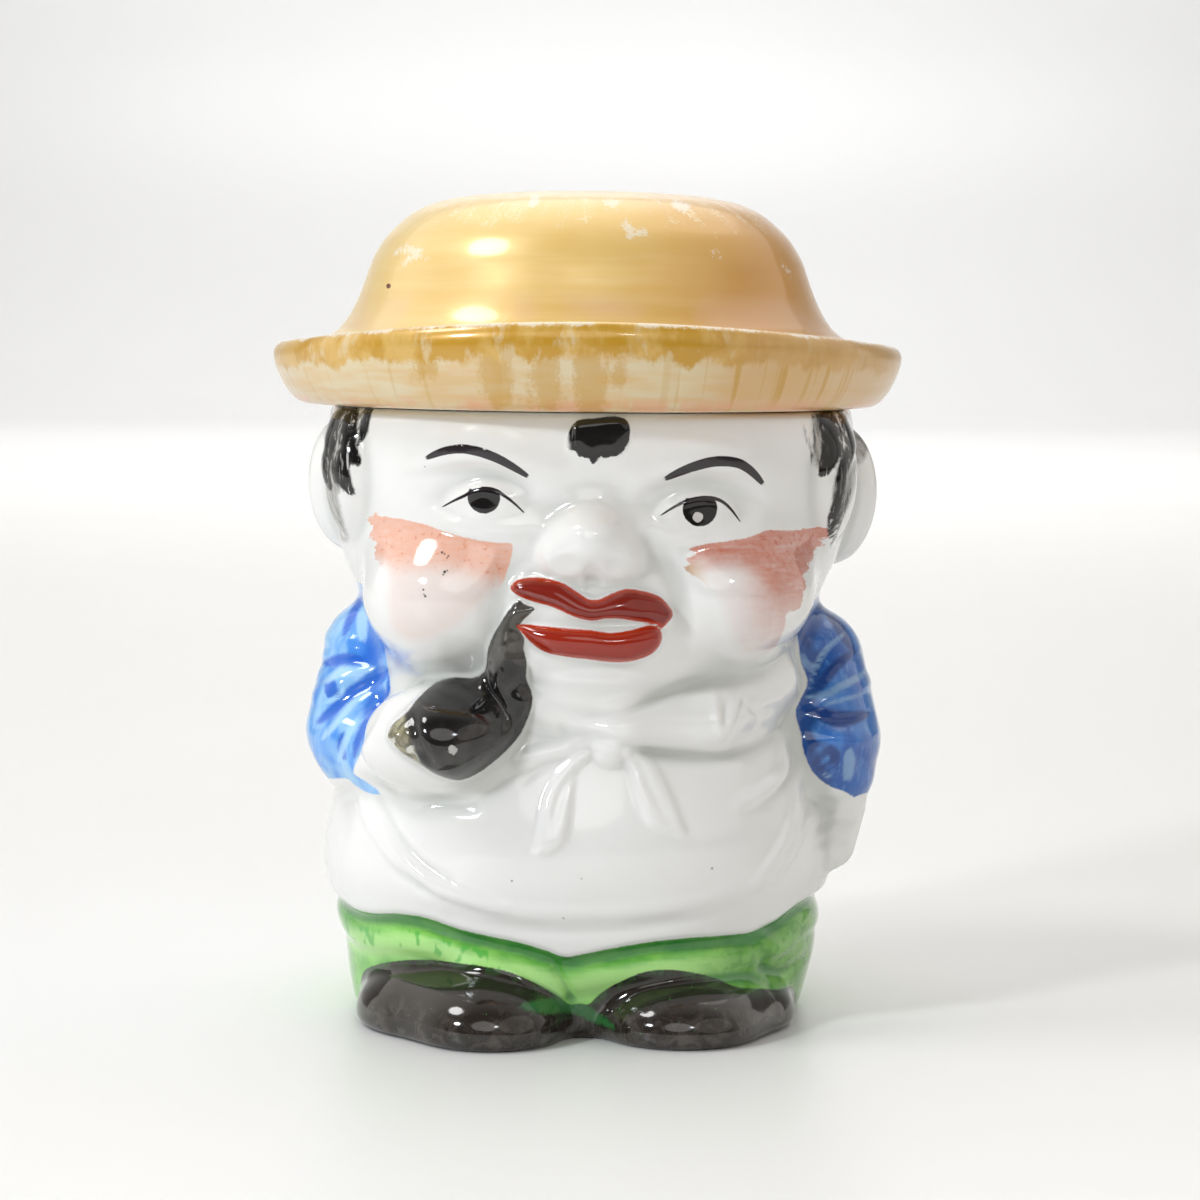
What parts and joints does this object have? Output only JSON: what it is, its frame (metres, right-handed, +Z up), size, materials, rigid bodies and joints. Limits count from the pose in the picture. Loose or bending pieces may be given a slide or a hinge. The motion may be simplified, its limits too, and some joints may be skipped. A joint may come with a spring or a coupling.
{
  "type": "tobacco jar",
  "caption": "Ceramic tobacco jar shaped as a stout pipe-smoking figure, with a lift-off straw hat as its lid.",
  "frame": {"origin": "at the foot, on the vertical axis of the hat and the mouth", "axes": "+Z up, out of the mouth; the figure faces -Y, with its left hand side as seen in front at -X"},
  "size_m": [0.104, 0.104, 0.1353],
  "materials": {
    "jar_glaze": "glossy white glaze with painted face, clothes and pipe",
    "hat_lustre": "glossy golden lustre, worn in patches"
  },
  "bodies": {
    "root": {"jar_body": "jar_glaze", "hat_lid": "hat_lustre"}
  },
  "joints": []
}
